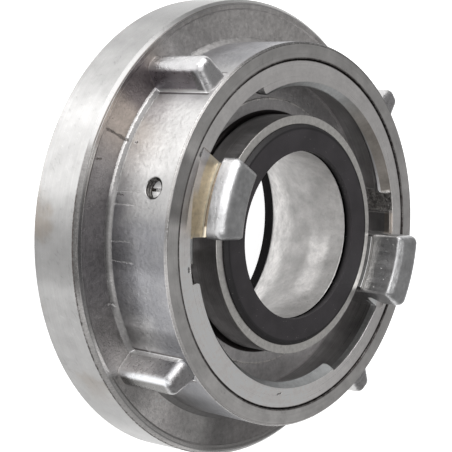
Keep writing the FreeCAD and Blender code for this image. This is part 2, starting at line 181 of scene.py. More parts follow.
class Nodes:
    """Short calls that build one material's node tree."""

    def __init__(self, name):
        self.material = bpy.data.materials.new(name)
        self.material.use_nodes = True
        self.tree = self.material.node_tree
        self.tree.nodes.clear()

    def locate(self):
        """Reads the place in the part's own frame, its radius from the axis and its height, in mm."""
        self.place = self.vector("SCALE", self.add("TexCoord").outputs["Object"], scale=1 / MM)
        x, y, self.height = self.split(self.place)
        self.radius = self.vector("LENGTH", self.join(x, y, 0.0))

    def add(self, kind, **settings):
        node = self.tree.nodes.new("ShaderNode" + kind)
        for key, value in settings.items():
            setattr(node, key, value)
        return node

    def feed(self, socket, value):
        if isinstance(value, bpy.types.NodeSocket):
            self.tree.links.new(value, socket)
        elif value is not None:
            socket.default_value = value

    def add_fed(self, kind, *values, **settings):
        """Adds a node whose first inputs take the values in turn."""
        node = self.add(kind, **settings)
        for socket, value in zip(node.inputs, values):
            self.feed(socket, value)
        return node

    def math(self, operation, *values, clamp=False):
        return self.add_fed("Math", *values, operation=operation, use_clamp=clamp).outputs[0]

    def vector(self, operation, *values, scale=None):
        node = self.add_fed("VectorMath", *values, operation=operation)
        if scale is not None:
            self.feed(node.inputs["Scale"], scale)
        return node.outputs["Value" if operation in ("LENGTH", "DOT_PRODUCT", "DISTANCE") else "Vector"]

    def split(self, vector):
        return self.add_fed("SeparateXYZ", vector).outputs

    def join(self, x, y, z):
        return self.add_fed("CombineXYZ", x, y, z).outputs[0]

    def times(self, first, *others):
        for item in others:
            first = self.math("MULTIPLY", first, item)
        return first

    both = times

    def either(self, first, *others):
        for item in others:
            first = self.math("MAXIMUM", first, item)
        return first

    def noise(self, vector, scale, detail=3.0, roughness=0.5, distortion=0.0):
        node = self.add("TexNoise")
        settings = {"Vector": vector, "Scale": scale, "Detail": detail, "Roughness": roughness,
                    "Distortion": distortion}
        for name, value in settings.items():
            self.feed(node.inputs[name], value)
        return node.outputs["Fac"]

    def cells(self, vector, scale):
        node = self.add("TexVoronoi")
        self.feed(node.inputs["Vector"], vector)
        self.feed(node.inputs["Scale"], scale)
        return node.outputs["Distance"]

    def step(self, value, low, high, start=0.0, end=1.0):
        """Smooth change from start to end while value goes from low to high."""
        node = self.add_fed("MapRange", value, low, high, start, end, interpolation_type="SMOOTHSTEP")
        return node.outputs["Result"]

    def fall(self, value, low, high):
        """1 below low, falling to 0 at high."""
        return self.step(value, low, high, 1.0, 0.0)

    def span(self, value, low, high, start, end):
        """Straight change from start to end while value goes from low to high."""
        return self.add_fed("MapRange", value, low, high, start, end).outputs["Result"]

    def vary(self, noise, start, end, reach=MOST):
        """Number from start to end that follows a noise."""
        return self.span(noise, 0.5 - reach, 0.5 + reach, start, end)

    def band(self, value, low, high, soft):
        """1 between low and high, falling to 0 over soft on each side."""
        rise = self.step(value, low - soft, low)
        return self.math("SUBTRACT", rise, self.step(value, high, high + soft), clamp=True)

    def near(self, angle, half, soft):
        """1 within half a width of an angle about the axis, in degrees, falling to 0 over soft."""
        towards = (math.cos(math.radians(angle)), math.sin(math.radians(angle)), 0.0)
        share = self.math("DIVIDE", self.vector("DOT_PRODUCT", self.place, towards), self.radius)
        return self.step(share, math.cos(math.radians(half + soft)), math.cos(math.radians(half)))

    def off_nearest(self, first, step):
        """Angle in degrees, about the axis, to the nearest of some evenly spaced directions."""
        x, y, _ = self.split(self.place)
        turn = self.math("DEGREES", self.math("ARCTAN2", y, x))
        turn = self.math("FLOORED_MODULO", turn, FULL_TURN)
        share = self.math("FLOORED_MODULO", self.math("ADD", turn, step / 2 - first), step)
        return self.math("ABSOLUTE", self.math("SUBTRACT", share, step / 2))

    def mix(self, share, first, second):
        """Colour or number between first and second."""
        numbers = all(isinstance(item, (int, float)) or getattr(item, "type", "") == "VALUE"
                      for item in (first, second))
        node = self.add("Mix", data_type="FLOAT" if numbers else "RGBA")
        names = [item for item in node.inputs if item.enabled]
        self.feed(names[0], share)
        self.feed(names[1], first if numbers else colour(first))
        self.feed(names[2], second if numbers else colour(second))
        return [item for item in node.outputs if item.enabled][0]

    def shade(self, base, share):
        """Base colour made lighter or darker by a number."""
        return self.vector("SCALE", base, scale=share)

    def patches(self, items):
        """Tone that is changed in the patches of a table."""
        return self.times(*(self.mix(self.near(angle, half, soft), 1.0, share)
                            for angle, half, soft, share in items))

    def layers(self, base, items):
        """Base with the layers of a table over it."""
        for angle, half, soft, value in items:
            base = self.mix(self.near(angle, half, soft), base, value)
        return base

    def stroke(self, place, start, end, width, core=0.5):
        """1 in the core of a straight line between two points, in millimetres, 0 off its width."""
        along = Vector(end) - Vector(start)
        offset = self.vector("SUBTRACT", place, start)
        share = self.math("DIVIDE", self.vector("DOT_PRODUCT", offset, tuple(along)),
                          along.length_squared, clamp=True)
        nearest = self.vector("SCALE", tuple(along), scale=share)
        return self.fall(self.vector("DISTANCE", offset, nearest), width * core, width)

    def marks(self, strokes):
        """1 on the ragged scratches of a table."""
        wobble = self.math("SUBTRACT", self.noise(self.place, 1.6, 3.0, 0.6), 0.5)
        shaken = self.vector("ADD", self.place, self.vector("SCALE", (0.5, 0.9, 0.7), scale=wobble))
        found = self.either(*(self.stroke(shaken, *item) for item in strokes))
        return self.both(found, self.step(self.noise(self.place, 2.4, 2.0), 0.25, 0.5, 0.35, 1.0))

    def scuffs(self, scale, low, high):
        """1 on short fine scratches that lie in three directions, 0 between them."""
        found = []
        for turn, stretch in ((0.35, (1.0, 0.12, 1.0)), (-0.5, (1.0, 1.0, 0.1)), (1.1, (0.14, 1.0, 1.0))):
            node = self.add("VectorRotate", rotation_type="EULER_XYZ")
            self.feed(node.inputs["Vector"], self.place)
            node.inputs["Rotation"].default_value = (turn, turn * 0.7, -turn)
            drawn = self.noise(self.vector("MULTIPLY", node.outputs[0], stretch), scale, 2.0, 0.5)
            found.append(self.step(drawn, low, high))
        return self.either(*found)

    def turned_lines(self, fine):
        """Concentric tool marks that follow a turned profile."""
        x, y, _ = self.split(self.place)
        profile = self.math("ADD", self.radius, self.math("MULTIPLY", self.height, 1.37))
        rings = self.join(self.times(profile, fine), self.times(x, 0.03), self.times(y, 0.03))
        return self.noise(rings, 1.0, 4.0, 0.65)

    def surface(self, base, roughness, height, depth, metallic=1.0, edge=EDGE_SOFT):
        """Principled surface with bumps of a depth in millimetres and softened edges."""
        shader = self.add("BsdfPrincipled")
        self.feed(shader.inputs["Base Color"], base)
        self.feed(shader.inputs["Roughness"], roughness)
        shader.inputs["Metallic"].default_value = metallic
        soft = self.add("Bevel", samples=6)
        if isinstance(edge, bpy.types.NodeSocket):
            self.feed(soft.inputs["Radius"], self.times(edge, MM))
        else:
            soft.inputs["Radius"].default_value = edge * MM
        bump = self.add("Bump")
        bump.inputs["Distance"].default_value = depth * MM
        self.feed(bump.inputs["Height"], height)
        self.feed(bump.inputs["Normal"], soft.outputs["Normal"])
        self.feed(shader.inputs["Normal"], bump.outputs["Normal"])
        self.feed(self.add("OutputMaterial").inputs["Surface"], shader.outputs["BSDF"])
        return shader


def colour(value):
    """A grey or a colour as four numbers, or the socket that was given."""
    if isinstance(value, (int, float)):
        return (value, value, value, 1.0)
    if isinstance(value, tuple):
        return (*value[:3], 1.0)
    return value


def body_noises(n):
    """Noises that the outer body's finishes share."""
    return SimpleNamespace(
        lines=n.turned_lines(3.2), fine=n.turned_lines(9.0),
        blotch=n.noise(n.place, 0.06, 4.0, 0.55), cloud=n.noise(n.place, 0.22, 4.0, 0.6),
        grain=n.noise(n.place, 0.9, 5.0, 0.6), ragged=n.noise(n.place, 0.8, 4.0, 0.7),
        jagged=n.noise(n.place, 2.2, 3.0, 0.7), pits=n.cells(n.place, 1.1),
        scratch=n.scuffs(1.5, 0.62, 0.74))


def body_zones(n):
    """Where each finish of the outer body lies, and the distance from the nearest rib's middle."""
    radius, height = n.radius, n.height
    rim = n.step(radius, RIM_R - 0.2, RIM_R + 0.2)
    lip = n.both(n.band(radius, LIP_R + 0.1, RIM_R - 0.2, 0.2),
                 n.step(height, FLANGE_FACE_Z, FLANGE_FACE_Z + 0.3))
    face = n.both(n.band(height, FLANGE_FACE_Z - 0.3, FLANGE_FACE_Z + 0.15, 0.15),
                  n.band(radius, BARREL_R + 0.7, LIP_R - 0.2, 0.6))
    front = n.step(height, BARREL_FRONT_Z - 0.35, BARREL_FRONT_Z - 0.1)
    aside = n.times(n.math("SINE", n.math("RADIANS", n.off_nearest(RIB_ANGLE, RIB_STEP))), radius)
    on_rib = n.both(n.fall(aside, RIB_HALF_WIDTH, RIB_HALF_WIDTH + 0.4),
                    n.step(radius, BARREL_R + 0.3, BARREL_R + 0.8),
                    n.step(height, FLANGE_FACE_Z + 0.3, FLANGE_FACE_Z + 0.8))
    foot = n.both(n.band(radius, BARREL_R + 0.05, BARREL_R + 1.3, 0.1),
                  n.band(height, FLANGE_FACE_Z + 0.05, FLANGE_FACE_Z + 1.4, 0.1),
                  n.step(aside, RIB_HALF_WIDTH, RIB_HALF_WIDTH + 0.4))
    return SimpleNamespace(rim=rim, lip=lip, face=face, front=front, turned=n.either(rim, lip, front),
                           aside=aside, on_rib=on_rib, foot=foot, upper=n.near(88.0, 66.0, 3.0))


def barrel_skin(n, noises):
    """Cast skin with painted light and shade: darker near the flange on one side, under the screw, over the
    top and towards the front, lighter at the upper left.
    """
    tone = n.times(n.vary(noises.blotch, 0.52, 0.66), n.vary(noises.grain, 0.88, 1.1, WIDE))
    # Painted shade: the cast is darker in these zones
    shade_zones = n.either(
        n.both(n.near(174.0, 22.0, 12.0), n.fall(n.height, 30.5, 38.0)),
        n.near(96.0, 14.0, 16.0),
        n.near(-174.0, 9.0, 10.0),
        n.both(n.near(-160.0, 8.0, 12.0), n.step(n.height, 37.0, 45.0, 0.2, 1.0)),
        n.both(n.near(-122.0, 14.0, 10.0), n.step(n.height, 33.0, 40.0, 0.4, 1.0)))
    shade_zones = n.math("MULTIPLY", shade_zones, n.vary(noises.cloud, 0.75, 1.15), clamp=True)
    cast = n.mix(shade_zones, n.shade((1.08, 1.065, 1.06), tone), n.shade((0.6, 0.6, 0.63), tone))
    # Painted light at the upper left
    cast = n.mix(n.near(149.0, 8.0, 12.0), cast, n.shade((1.4, 1.385, 1.37), tone))
    low_dark = n.both(n.near(-172.0, 8.0, 8.0), n.fall(n.height, 36.0, 41.0))
    return n.shade(cast, n.times(n.patches(BARREL_PATCHES), n.mix(low_dark, 1.0, 0.66),
                                 n.step(n.height, 37.0, 46.0, 1.04, 0.76)))


def rib_skin(n, noises, zones, cast):
    """Ribs with painted light and shade: darkened sloped ends, and a painted highlight line with a painted
    shade line round the foot.
    """
    radius, height, on_rib = n.radius, n.height, zones.on_rib
    rib_end = n.both(on_rib, n.step(height, RIB_TOP_Z - 0.9, RIB_TOP_Z + 0.3))
    cast = n.mix(rib_end, cast, n.shade((0.38, 0.37, 0.375), n.vary(noises.grain, 0.8, 1.2)))
    near_foot = n.both(n.fall(radius, BARREL_R + 0.9, BARREL_R + 1.3),
                       n.step(height, FLANGE_FACE_Z + 0.4, FLANGE_FACE_Z + 0.8),
                       n.fall(height, RIB_TOP_Z + 0.3, RIB_TOP_Z + 0.9))
    foot_shade_line = n.band(zones.aside, RIB_HALF_WIDTH + 0.35, RIB_HALF_WIDTH + 0.8, 0.25)
    foot_highlight_line = n.band(zones.aside, RIB_HALF_WIDTH + 0.02, RIB_HALF_WIDTH + 0.25, 0.08)
    cast = n.mix(n.both(near_foot, foot_shade_line), cast, (0.18, 0.17, 0.17))
    cast = n.mix(n.both(near_foot, foot_highlight_line), cast, (0.8, 0.8, 0.8))

    # Painted shade on the flank under the upper left rib, and painted highlights along the crests
    flank_shade = n.both(n.near(UPPER_RIB + 5.0, 4.4, 0.8), n.step(radius, BARREL_R + 0.2, BARREL_R + 1.2),
                   n.fall(radius, RIB_CREST_R - 1.8, RIB_CREST_R - 0.4))
    cast = n.mix(flank_shade, cast, n.shade((0.3, 0.285, 0.31), n.vary(noises.cloud, 0.8, 1.3)))
    crest = n.both(on_rib, n.step(radius, RIB_CREST_R - 1.4, RIB_CREST_R - 0.6))
    cast = n.mix(n.both(crest, n.near(LOWER_RIB - 2.8, 1.1, 0.9)), cast, (0.7, 0.71, 0.73))
    upper_rib = n.near(UPPER_RIB, 8.0, 2.0)
    cast = n.mix(n.both(crest, upper_rib), cast,
                 n.shade((0.5, 0.495, 0.5), n.vary(noises.cloud, 0.9, 1.15)))
    # Painted shade over the sloped end of the upper rib
    end_shade = n.both(upper_rib, on_rib, n.step(height, 43.4, 44.6),
                      n.fall(radius, RIB_CREST_R - 1.6, RIB_CREST_R - 0.7))
    end_shade_tone = n.mix(n.step(height, 45.8, 46.4), (0.2, 0.2, 0.205), (0.46, 0.455, 0.46))
    cast = n.mix(end_shade, cast, end_shade_tone)

    # Painted shade on the pitted underside of the lower left rib
    underside = n.both(n.near(LOWER_RIB + 2.3, 3.3, 0.9), on_rib, n.fall(height, 45.0, 46.0))
    stipple = n.step(n.cells(n.place, 1.6), 0.1, 0.35, 0.72, 1.0)
    return n.mix(underside, cast, n.shade((0.2, 0.197, 0.192), stipple))


def face_skin(n, noises):
    """Flange face, brown at the top left and grey lower down, with painted light and shade round the axis.
    """
    tone = n.times(n.vary(noises.grain, 0.78, 1.16, WIDE), n.vary(noises.cloud, 0.86, 1.12),
                   n.step(noises.pits, 0.0, 0.25, 0.75, 1.0), n.patches(FACE_PATCHES))
    return n.shade(n.layers((0.42, 0.4, 0.395), FACE_TINTS), tone)


def rim_skin(n, noises, zones, face_cast):
    """Turned rim with brushing and painted light and shade round it, and its lip, lighter on the lower left,
    with painted highlight lines along its edges.
    """
    tone = n.times(n.layers(0.42, RIM_GREYS), n.patches(RIM_PATCHES), n.vary(noises.shine, 0.9, 1.1),
                   n.vary(noises.cloud, 0.9, 1.08))
    rust = n.both(n.near(-168.0, 16.0, 16.0), n.step(noises.blotch, 0.5, 0.66))
    base = n.shade(n.mix(rust, (1.0, 0.99, 0.98), (0.86, 0.79, 0.72)), tone)

    ticks = n.noise(n.vector("MULTIPLY", n.place, (1.0, 1.0, 0.15)), 2.2, 3.0, 0.6)
    grey = n.mix(n.step(noises.shaken_r, RIM_R + 0.15, RIM_R + 0.35), n.layers(0.28, LIP_FLAT_GREYS),
                 n.layers(0.2, LIP_SLOPE_GREYS))
    grey = n.times(grey, n.vary(ticks, 0.8, 1.18))
    # Painted highlight lines along the lip's edges
    edge_highlight_line = n.both(n.band(noises.shaken_r, RIM_R + 0.4, RIM_R + 0.6, 0.08),
                       n.step(noises.ragged, 0.45, 0.6), n.near(178.0, 10.0, 4.0))
    grey = n.mix(edge_highlight_line, grey, 0.16)
    grey = n.mix(n.band(noises.shaken_r, LIP_R + 0.15, LIP_R + 0.35, 0.1), grey, 0.4)
    covered = n.mix(n.step(n.radius, RIM_R + 0.2, RIM_R + 0.4), face_cast, n.shade((1.0, 0.99, 0.98), 0.3))
    lip_base = n.mix(zones.upper, n.shade((1.0, 0.97, 0.95), grey), covered)
    lip_zone = n.both(n.step(n.height, RIM_EDGE_Z - 0.13, RIM_EDGE_Z + 0.02), n.either(zones.rim, zones.lip))
    return n.mix(lip_zone, base, lip_base)


def foot_skin(n, noises):
    """Foot of the barrel: painted shade, with a painted highlight line on its outer edge."""
    outer = n.both(n.near(-178.0, 12.0, 8.0), n.step(n.radius, BARREL_R + 0.4, BARREL_R + 0.9))
    tone = n.times(n.layers(0.26, FOOT_GREYS), n.vary(noises.grain, 0.85, 1.12),
                   n.step(noises.shaken_r, BARREL_R + 1.1, BARREL_R + 1.4, 1.0, 0.55),
                   n.mix(outer, 1.1, 0.5))
    foot_highlight = n.both(n.near(145.0, 16.0, 6.0), n.band(noises.shaken_r, BARREL_R + 0.85, BARREL_R + 1.2, 0.1))
    return n.shade((1.0, 0.975, 0.965), n.mix(foot_highlight, tone, 0.45))


def body_edges(n, noises, zones, base):
    """Ragged dark line on the rim's edge, painted shade at the lip's root and in the running gap, and
    painted shade that dulls the barrel's front edge.
    """
    radius, height = n.radius, n.height
    shaken_z = n.math("ADD", height, n.vary(noises.jagged, -0.14, 0.14))
    rim_edge_dark = n.both(n.band(shaken_z, RIM_EDGE_Z - 0.1, RIM_EDGE_Z + 0.1, 0.08), zones.rim,
                       n.near(-146.0, 46.0, 6.0))
    # Painted shade in the corner at the lip's root
    root_shade_line = n.both(n.band(radius, LIP_R - 0.45, LIP_R - 0.25, 0.12),
                       n.band(height, FLANGE_FACE_Z - 0.1, FLANGE_FACE_Z + 0.5, 0.1),
                       n.near(160.0, 5.0, 4.0))
    edge_line = n.both(n.either(rim_edge_dark, root_shade_line), n.step(noises.ragged, 0.36, 0.56, 0.15, 1.0))
    top_line = n.times(zones.upper, zones.rim, n.band(radius, RIM_R + 0.2, RIM_R + 0.35, 0.08), 0.7)
    edge_line = n.either(edge_line, top_line)
    base = n.mix(n.times(edge_line, 0.85), base, (0.06, 0.05, 0.045))
    # Painted shade in the running gap
    gap_shade = n.times(n.fall(radius, BODY_BORE_R + 0.15, BODY_BORE_R + 0.5),
                       n.step(height, BARREL_FRONT_Z - 3.0, BARREL_FRONT_Z - 2.0),
                       n.span(noises.ragged, 0.3, 0.6, 0.55, 1.0))
    base = n.mix(gap_shade, base, (0.07, 0.06, 0.058))
    # Painted shade that dulls the highlight on the barrel's front edge
    brink = n.both(n.band(radius, BARREL_R - 0.65, BARREL_R + 0.1, 0.1),
                   n.band(height, BARREL_FRONT_Z - 0.6, BARREL_FRONT_Z, 0.1),
                   n.step(noises.jagged, 0.3, 0.55, 0.3, 1.0))
    return n.mix(brink, base, n.shade((1.0, 0.97, 0.95), n.layers(0.15, BRINK_GREYS)))


def screw_mouths(n, width):
    """1 within a radius, in millimetres, of the threaded holes' axes."""
    found = []
    for angle in SCREW_ANGLES:
        start, end = (tuple(screw_frame(angle) @ Vector((x * MM, 0, 0)) / MM)
                      for x in (BARREL_R - 3, BARREL_R + 1))
        found.append(n.stroke(n.place, start, end, width, MOUTH_CORE))
    return n.either(*found)


def body_material():
    """Outer body: satin turned rim and ring face, darker as-cast flange face, barrel and ribs."""
    n = Nodes("body_aluminium")
    n.locate()
    noises = body_noises(n)
    noises.shine = n.math("ADD", n.times(noises.lines, 0.6), n.times(noises.fine, 0.4))
    noises.shaken_r = n.math("ADD", n.radius, n.vary(noises.jagged, -0.14, 0.14))
    zones = body_zones(n)

    cast = rib_skin(n, noises, zones, barrel_skin(n, noises))
    face_cast = face_skin(n, noises)
    cast = n.mix(zones.face, cast, face_cast)
    cast = n.mix(zones.foot, cast, foot_skin(n, noises))
    ring_tone = n.times(n.vary(noises.shine, 0.49, 0.61), n.vary(noises.cloud, 0.87, 1.1),
                        n.patches(RING_PATCHES))
    bright = n.mix(zones.front, rim_skin(n, noises, zones, face_cast),
                   n.shade((1.0, 0.975, 0.955), ring_tone))
    base = body_edges(n, noises, zones, n.mix(zones.turned, cast, bright))

    cuts = n.marks(BODY_CUTS)
    scratches = n.marks(BODY_SCRATCHES)
    base = n.mix(n.times(cuts, 0.8), base, (0.08, 0.07, 0.065))
    base = n.mix(n.times(scratches, 0.4), base, (0.75, 0.74, 0.73))
    base = n.shade(base, n.mix(noises.scratch, 1.0, n.step(noises.cloud, 0.4, 0.6, 0.84, 1.1)))
    # Painted shade: a darker ring round the threaded holes that dims their highlight, and dark mouths
    base = n.shade(base, n.mix(screw_mouths(n, MOUTH_RIM_R), 1.0, 0.62))
    base = n.mix(screw_mouths(n, MOUTH_R), base, (0.07, 0.062, 0.055))

    cast_rough = n.mix(zones.on_rib, n.vary(noises.grain, 0.38, 0.5), n.vary(noises.grain, 0.24, 0.36))
    turned_rough = n.math("ADD", n.vary(noises.shine, 0.28, 0.38), n.times(noises.cloud, 0.06))
    turned_rough = n.math("ADD", turned_rough, n.times(zones.front, 0.12))
    rough = n.mix(zones.turned, cast_rough, turned_rough)

    pitted = n.both(n.step(noises.pits, 0.0, 0.18, -0.5, 0.0), n.math("SUBTRACT", 1.0, zones.on_rib))
    cast_relief = n.math("ADD", noises.grain, pitted)
    lumps = n.times(zones.face, n.noise(n.place, 2.2, 3.0, 0.6), 0.8)
    cast_relief = n.math("ADD", cast_relief, lumps)
    cast_relief = n.math("SUBTRACT", cast_relief, n.math("ADD", cuts, scratches))
    relief = n.mix(zones.turned, cast_relief, n.times(noises.shine, 0.22))
    relief = n.math("SUBTRACT", relief, n.times(noises.scratch, 0.05))
    n.surface(base, rough, relief, BUMP_DEPTH, edge=n.mix(zones.foot, EDGE_SOFT, EDGE_CAST))
    return n.material


def insert_noises(n):
    """Noises that the insert's finishes share."""
    return SimpleNamespace(
        lines=n.turned_lines(3.2), blotch=n.noise(n.place, 0.06, 3.0, 0.5),
        cloud=n.noise(n.place, 0.22, 4.0, 0.6), grain=n.noise(n.place, 0.9, 5.0, 0.6),
        ragged=n.noise(n.place, 1.3, 4.0, 0.7), torn=n.noise(n.place, 0.9, 5.0, 0.75, 0.6),
        pits=n.cells(n.place, 0.7),
        streaks=n.noise(n.vector("MULTIPLY", n.place, (0.9, 0.9, 0.12)), 0.7, 4.0, 0.6))


def insert_zones(n):
    """Where each finish of the insert lies."""
    radius, height = n.radius, n.height
    claws = n.step(height, RING_FACE_Z + 0.1, RING_FACE_Z + 0.4)
    face = n.both(n.band(height, LAND_LOW_Z, RING_FACE_Z + 0.1, 0.15),
                  n.step(radius, RING_WALL_R - 4.2, RING_WALL_R - 3.8))
    bevel = n.both(n.band(height, 46.9, 48.85, 0.1), n.band(radius, 39.4, 42.2, 0.3))
    collar = n.both(n.step(height, COLLAR_TOP_Z - 0.5, COLLAR_TOP_Z - 0.2),
                    n.band(radius, POCKET_R - 0.3, COLLAR_R + 0.3, 0.2))
    shelf = n.both(n.fall(height, SHELF_Z + 0.3, SHELF_Z + 0.6),
                   n.step(radius, COLLAR_R + 0.2, COLLAR_R + 0.5),
                   n.step(height, SHELF_Z - 1.2, SHELF_Z - 0.8))
    inside = n.either(n.fall(radius, POCKET_R - 4.0, POCKET_R - 3.0),
                      n.both(n.fall(radius, 31.0, 32.0), n.fall(height, 35.0, 36.0)))
    return SimpleNamespace(claws=claws, face=face, bevel=bevel, collar=collar, shelf=shelf,
                           inside=inside, skin=n.either(inside, claws, shelf))


def wall_skin(n, noises):
    """Walls of the channel, painted dark for the shade in it, with a painted highlight on the collar's wall
    at the top left and painted light at the lower left.
    """
    collar_highlight = n.both(n.near(136.0, 9.0, 12.0), n.step(n.height, 40.5, 46.0),
                   n.fall(n.radius, COLLAR_R + 0.3, COLLAR_R + 0.6))
    tone = n.times(n.vary(noises.lines, 0.3, 0.46), n.vary(noises.cloud, 0.8, 1.2),
                   n.mix(collar_highlight, 1.0, n.vary(noises.streaks, 1.5, 2.6)),
                   n.mix(n.near(-162.0, 26.0, 14.0), 1.0, 1.4))
    return n.shade((1.0, 0.985, 0.985), tone)


def shelf_skin(n, noises):
    """Cast floor of the claw channel."""
    tone = n.times(n.vary(noises.grain, 0.5, 0.72, WIDE), n.vary(noises.cloud, 0.85, 1.12),
                   n.patches(SHELF_PATCHES))
    return n.shade((1.0, 0.97, 0.97), tone)


def ring_skin(n, noises):
    """Turned ring face, with painted light at the lower left, a painted dark reflection by the left claw and
    painted shade along the left ledge's inner edge.
    """
    dark_reflection = n.both(n.near(161.0, 8.0, 5.0), n.step(n.radius, 43.8, 44.2))
    ledge_edge_shade = n.both(n.near(-156.0, 26.0, 4.0), n.fall(n.radius, 39.7, 40.1))
    tone = n.times(n.vary(noises.lines, 0.74, 0.81), n.vary(noises.cloud, 0.92, 1.06),
                   n.vary(noises.grain, 0.94, 1.05), n.mix(n.near(-130.0, 30.0, 60.0), 1.0, 1.34),
                   n.mix(dark_reflection, 1.0, 0.42), n.mix(ledge_edge_shade, 1.0, 0.3))
    return n.shade((1.0, 0.97, 0.955), tone)


def bevel_skin(n, noises):
    """Countersunk inner edges of the ledges, with painted light and shade along them."""
    tone = n.times(n.vary(noises.cloud, 0.88, 1.12), n.vary(noises.grain, 0.88, 1.1),
                   n.mix(n.near(26.0, 14.0, 24.0), 0.96, 0.7), n.patches(BEVEL_PATCHES))
    return n.shade(n.mix(n.near(16.0, 20.0, 30.0), (0.56, 0.57, 0.57), (0.6, 0.55, 0.5)), tone)


def claw_skin(n, noises):
    """Claws: streaked along their height inside, with painted light on the back of the hook and painted
    shade at their foot.
    """
    outside = n.both(n.step(n.radius, HOOK_R - 2.6, HOOK_R - 0.6), n.step(n.height, 52.0, 53.0))
    tone = n.times(n.vary(noises.streaks, 0.54, 0.7), n.vary(noises.grain, 0.9, 1.06, WIDE),
                   n.vary(noises.cloud, 0.62, 0.84),
                   n.step(n.radius, CLAW_INNER_R, CLAW_INNER_R + 0.8, 1.08, 1.0))
    tone = n.mix(outside, tone, n.times(n.vary(noises.grain, 0.64, 0.78, WIDE),
                                        n.vary(noises.cloud, 0.86, 1.1)))
    tone = n.times(tone, n.step(n.height, RING_FACE_Z + 0.4, RING_FACE_Z + 1.4, 0.8, 1.0),
                   n.mix(n.both(outside, n.near(171.5, 3.0, 5.0)), 1.0, 0.72))
    return n.shade((0.99, 0.99, 1.0), tone)


def waterway_skin(n, noises):
    """As-cast inside of the waterway, with painted light low on one side and deep inside."""
    lit_patches = n.either(n.both(n.near(-30.0, 14.0, 14.0), n.band(n.height, 35.5, 40.0, 2.5)),
                      n.both(n.near(-20.0, 50.0, 30.0), n.fall(n.height, 21.0, 27.0)))
    tone = n.times(n.vary(noises.blotch, 0.44, 0.66), n.vary(noises.grain, 0.84, 1.12, WIDE),
                   n.vary(noises.cloud, 0.84, 1.14),
                   n.step(n.noise(n.place, 1.6, 5.0, 0.7), 0.6, 0.72, 1.0, 0.72),
                   n.mix(lit_patches, 1.0, n.vary(noises.cloud, 1.3, 1.6)))
    return n.shade((1.0, 0.98, 0.965), tone)


def stained_land(n, noises, base):
    """Stained land at the foot of one claw, with a cream painted highlight on the neck's fillet and a dark
    painted shadow in the crease under the hook; gives the crease too.
    """
    land = n.either(n.band(n.height, LAND_LOW_Z, LAND_TOP_Z, 0.1),
                    n.both(n.band(n.height, LAND_LOW_Z, RING_FACE_Z + 0.6, 0.15),
                           n.fall(n.radius, 38.6, 39.0)))
    land = n.both(land, n.near(CLAW_ANGLE, 15.0, 0.4), n.fall(n.radius, 44.8, 45.4))
    stain_edge = n.math("ADD", n.radius, n.times(n.math("SUBTRACT", noises.cloud, 0.5), 1.6))
    stain = n.both(land, n.either(n.fall(stain_edge, 41.2, 41.9), n.near(170.0, 7.0, 5.0)))
    base = n.mix(land, base, n.shade((0.8, 0.78, 0.79), n.vary(noises.streaks, 0.85, 1.05)))
    base = n.mix(stain, base, n.shade((0.8, 0.72, 0.58), n.vary(noises.streaks, 0.8, 1.15)))
    above = n.both(land, n.near(158.0, 13.0, 1.0))
    crease_and_shadow = n.both(above, n.band(n.radius, 37.15, 37.35, 0.12),
                    n.step(noises.ragged, 0.25, 0.45, 0.55, 1.0))
    base = n.mix(n.both(above, n.band(n.radius, 37.6, 37.95, 0.15)), base, (0.85, 0.81, 0.7))
    return n.mix(crease_and_shadow, base, (0.2, 0.16, 0.12)), crease_and_shadow


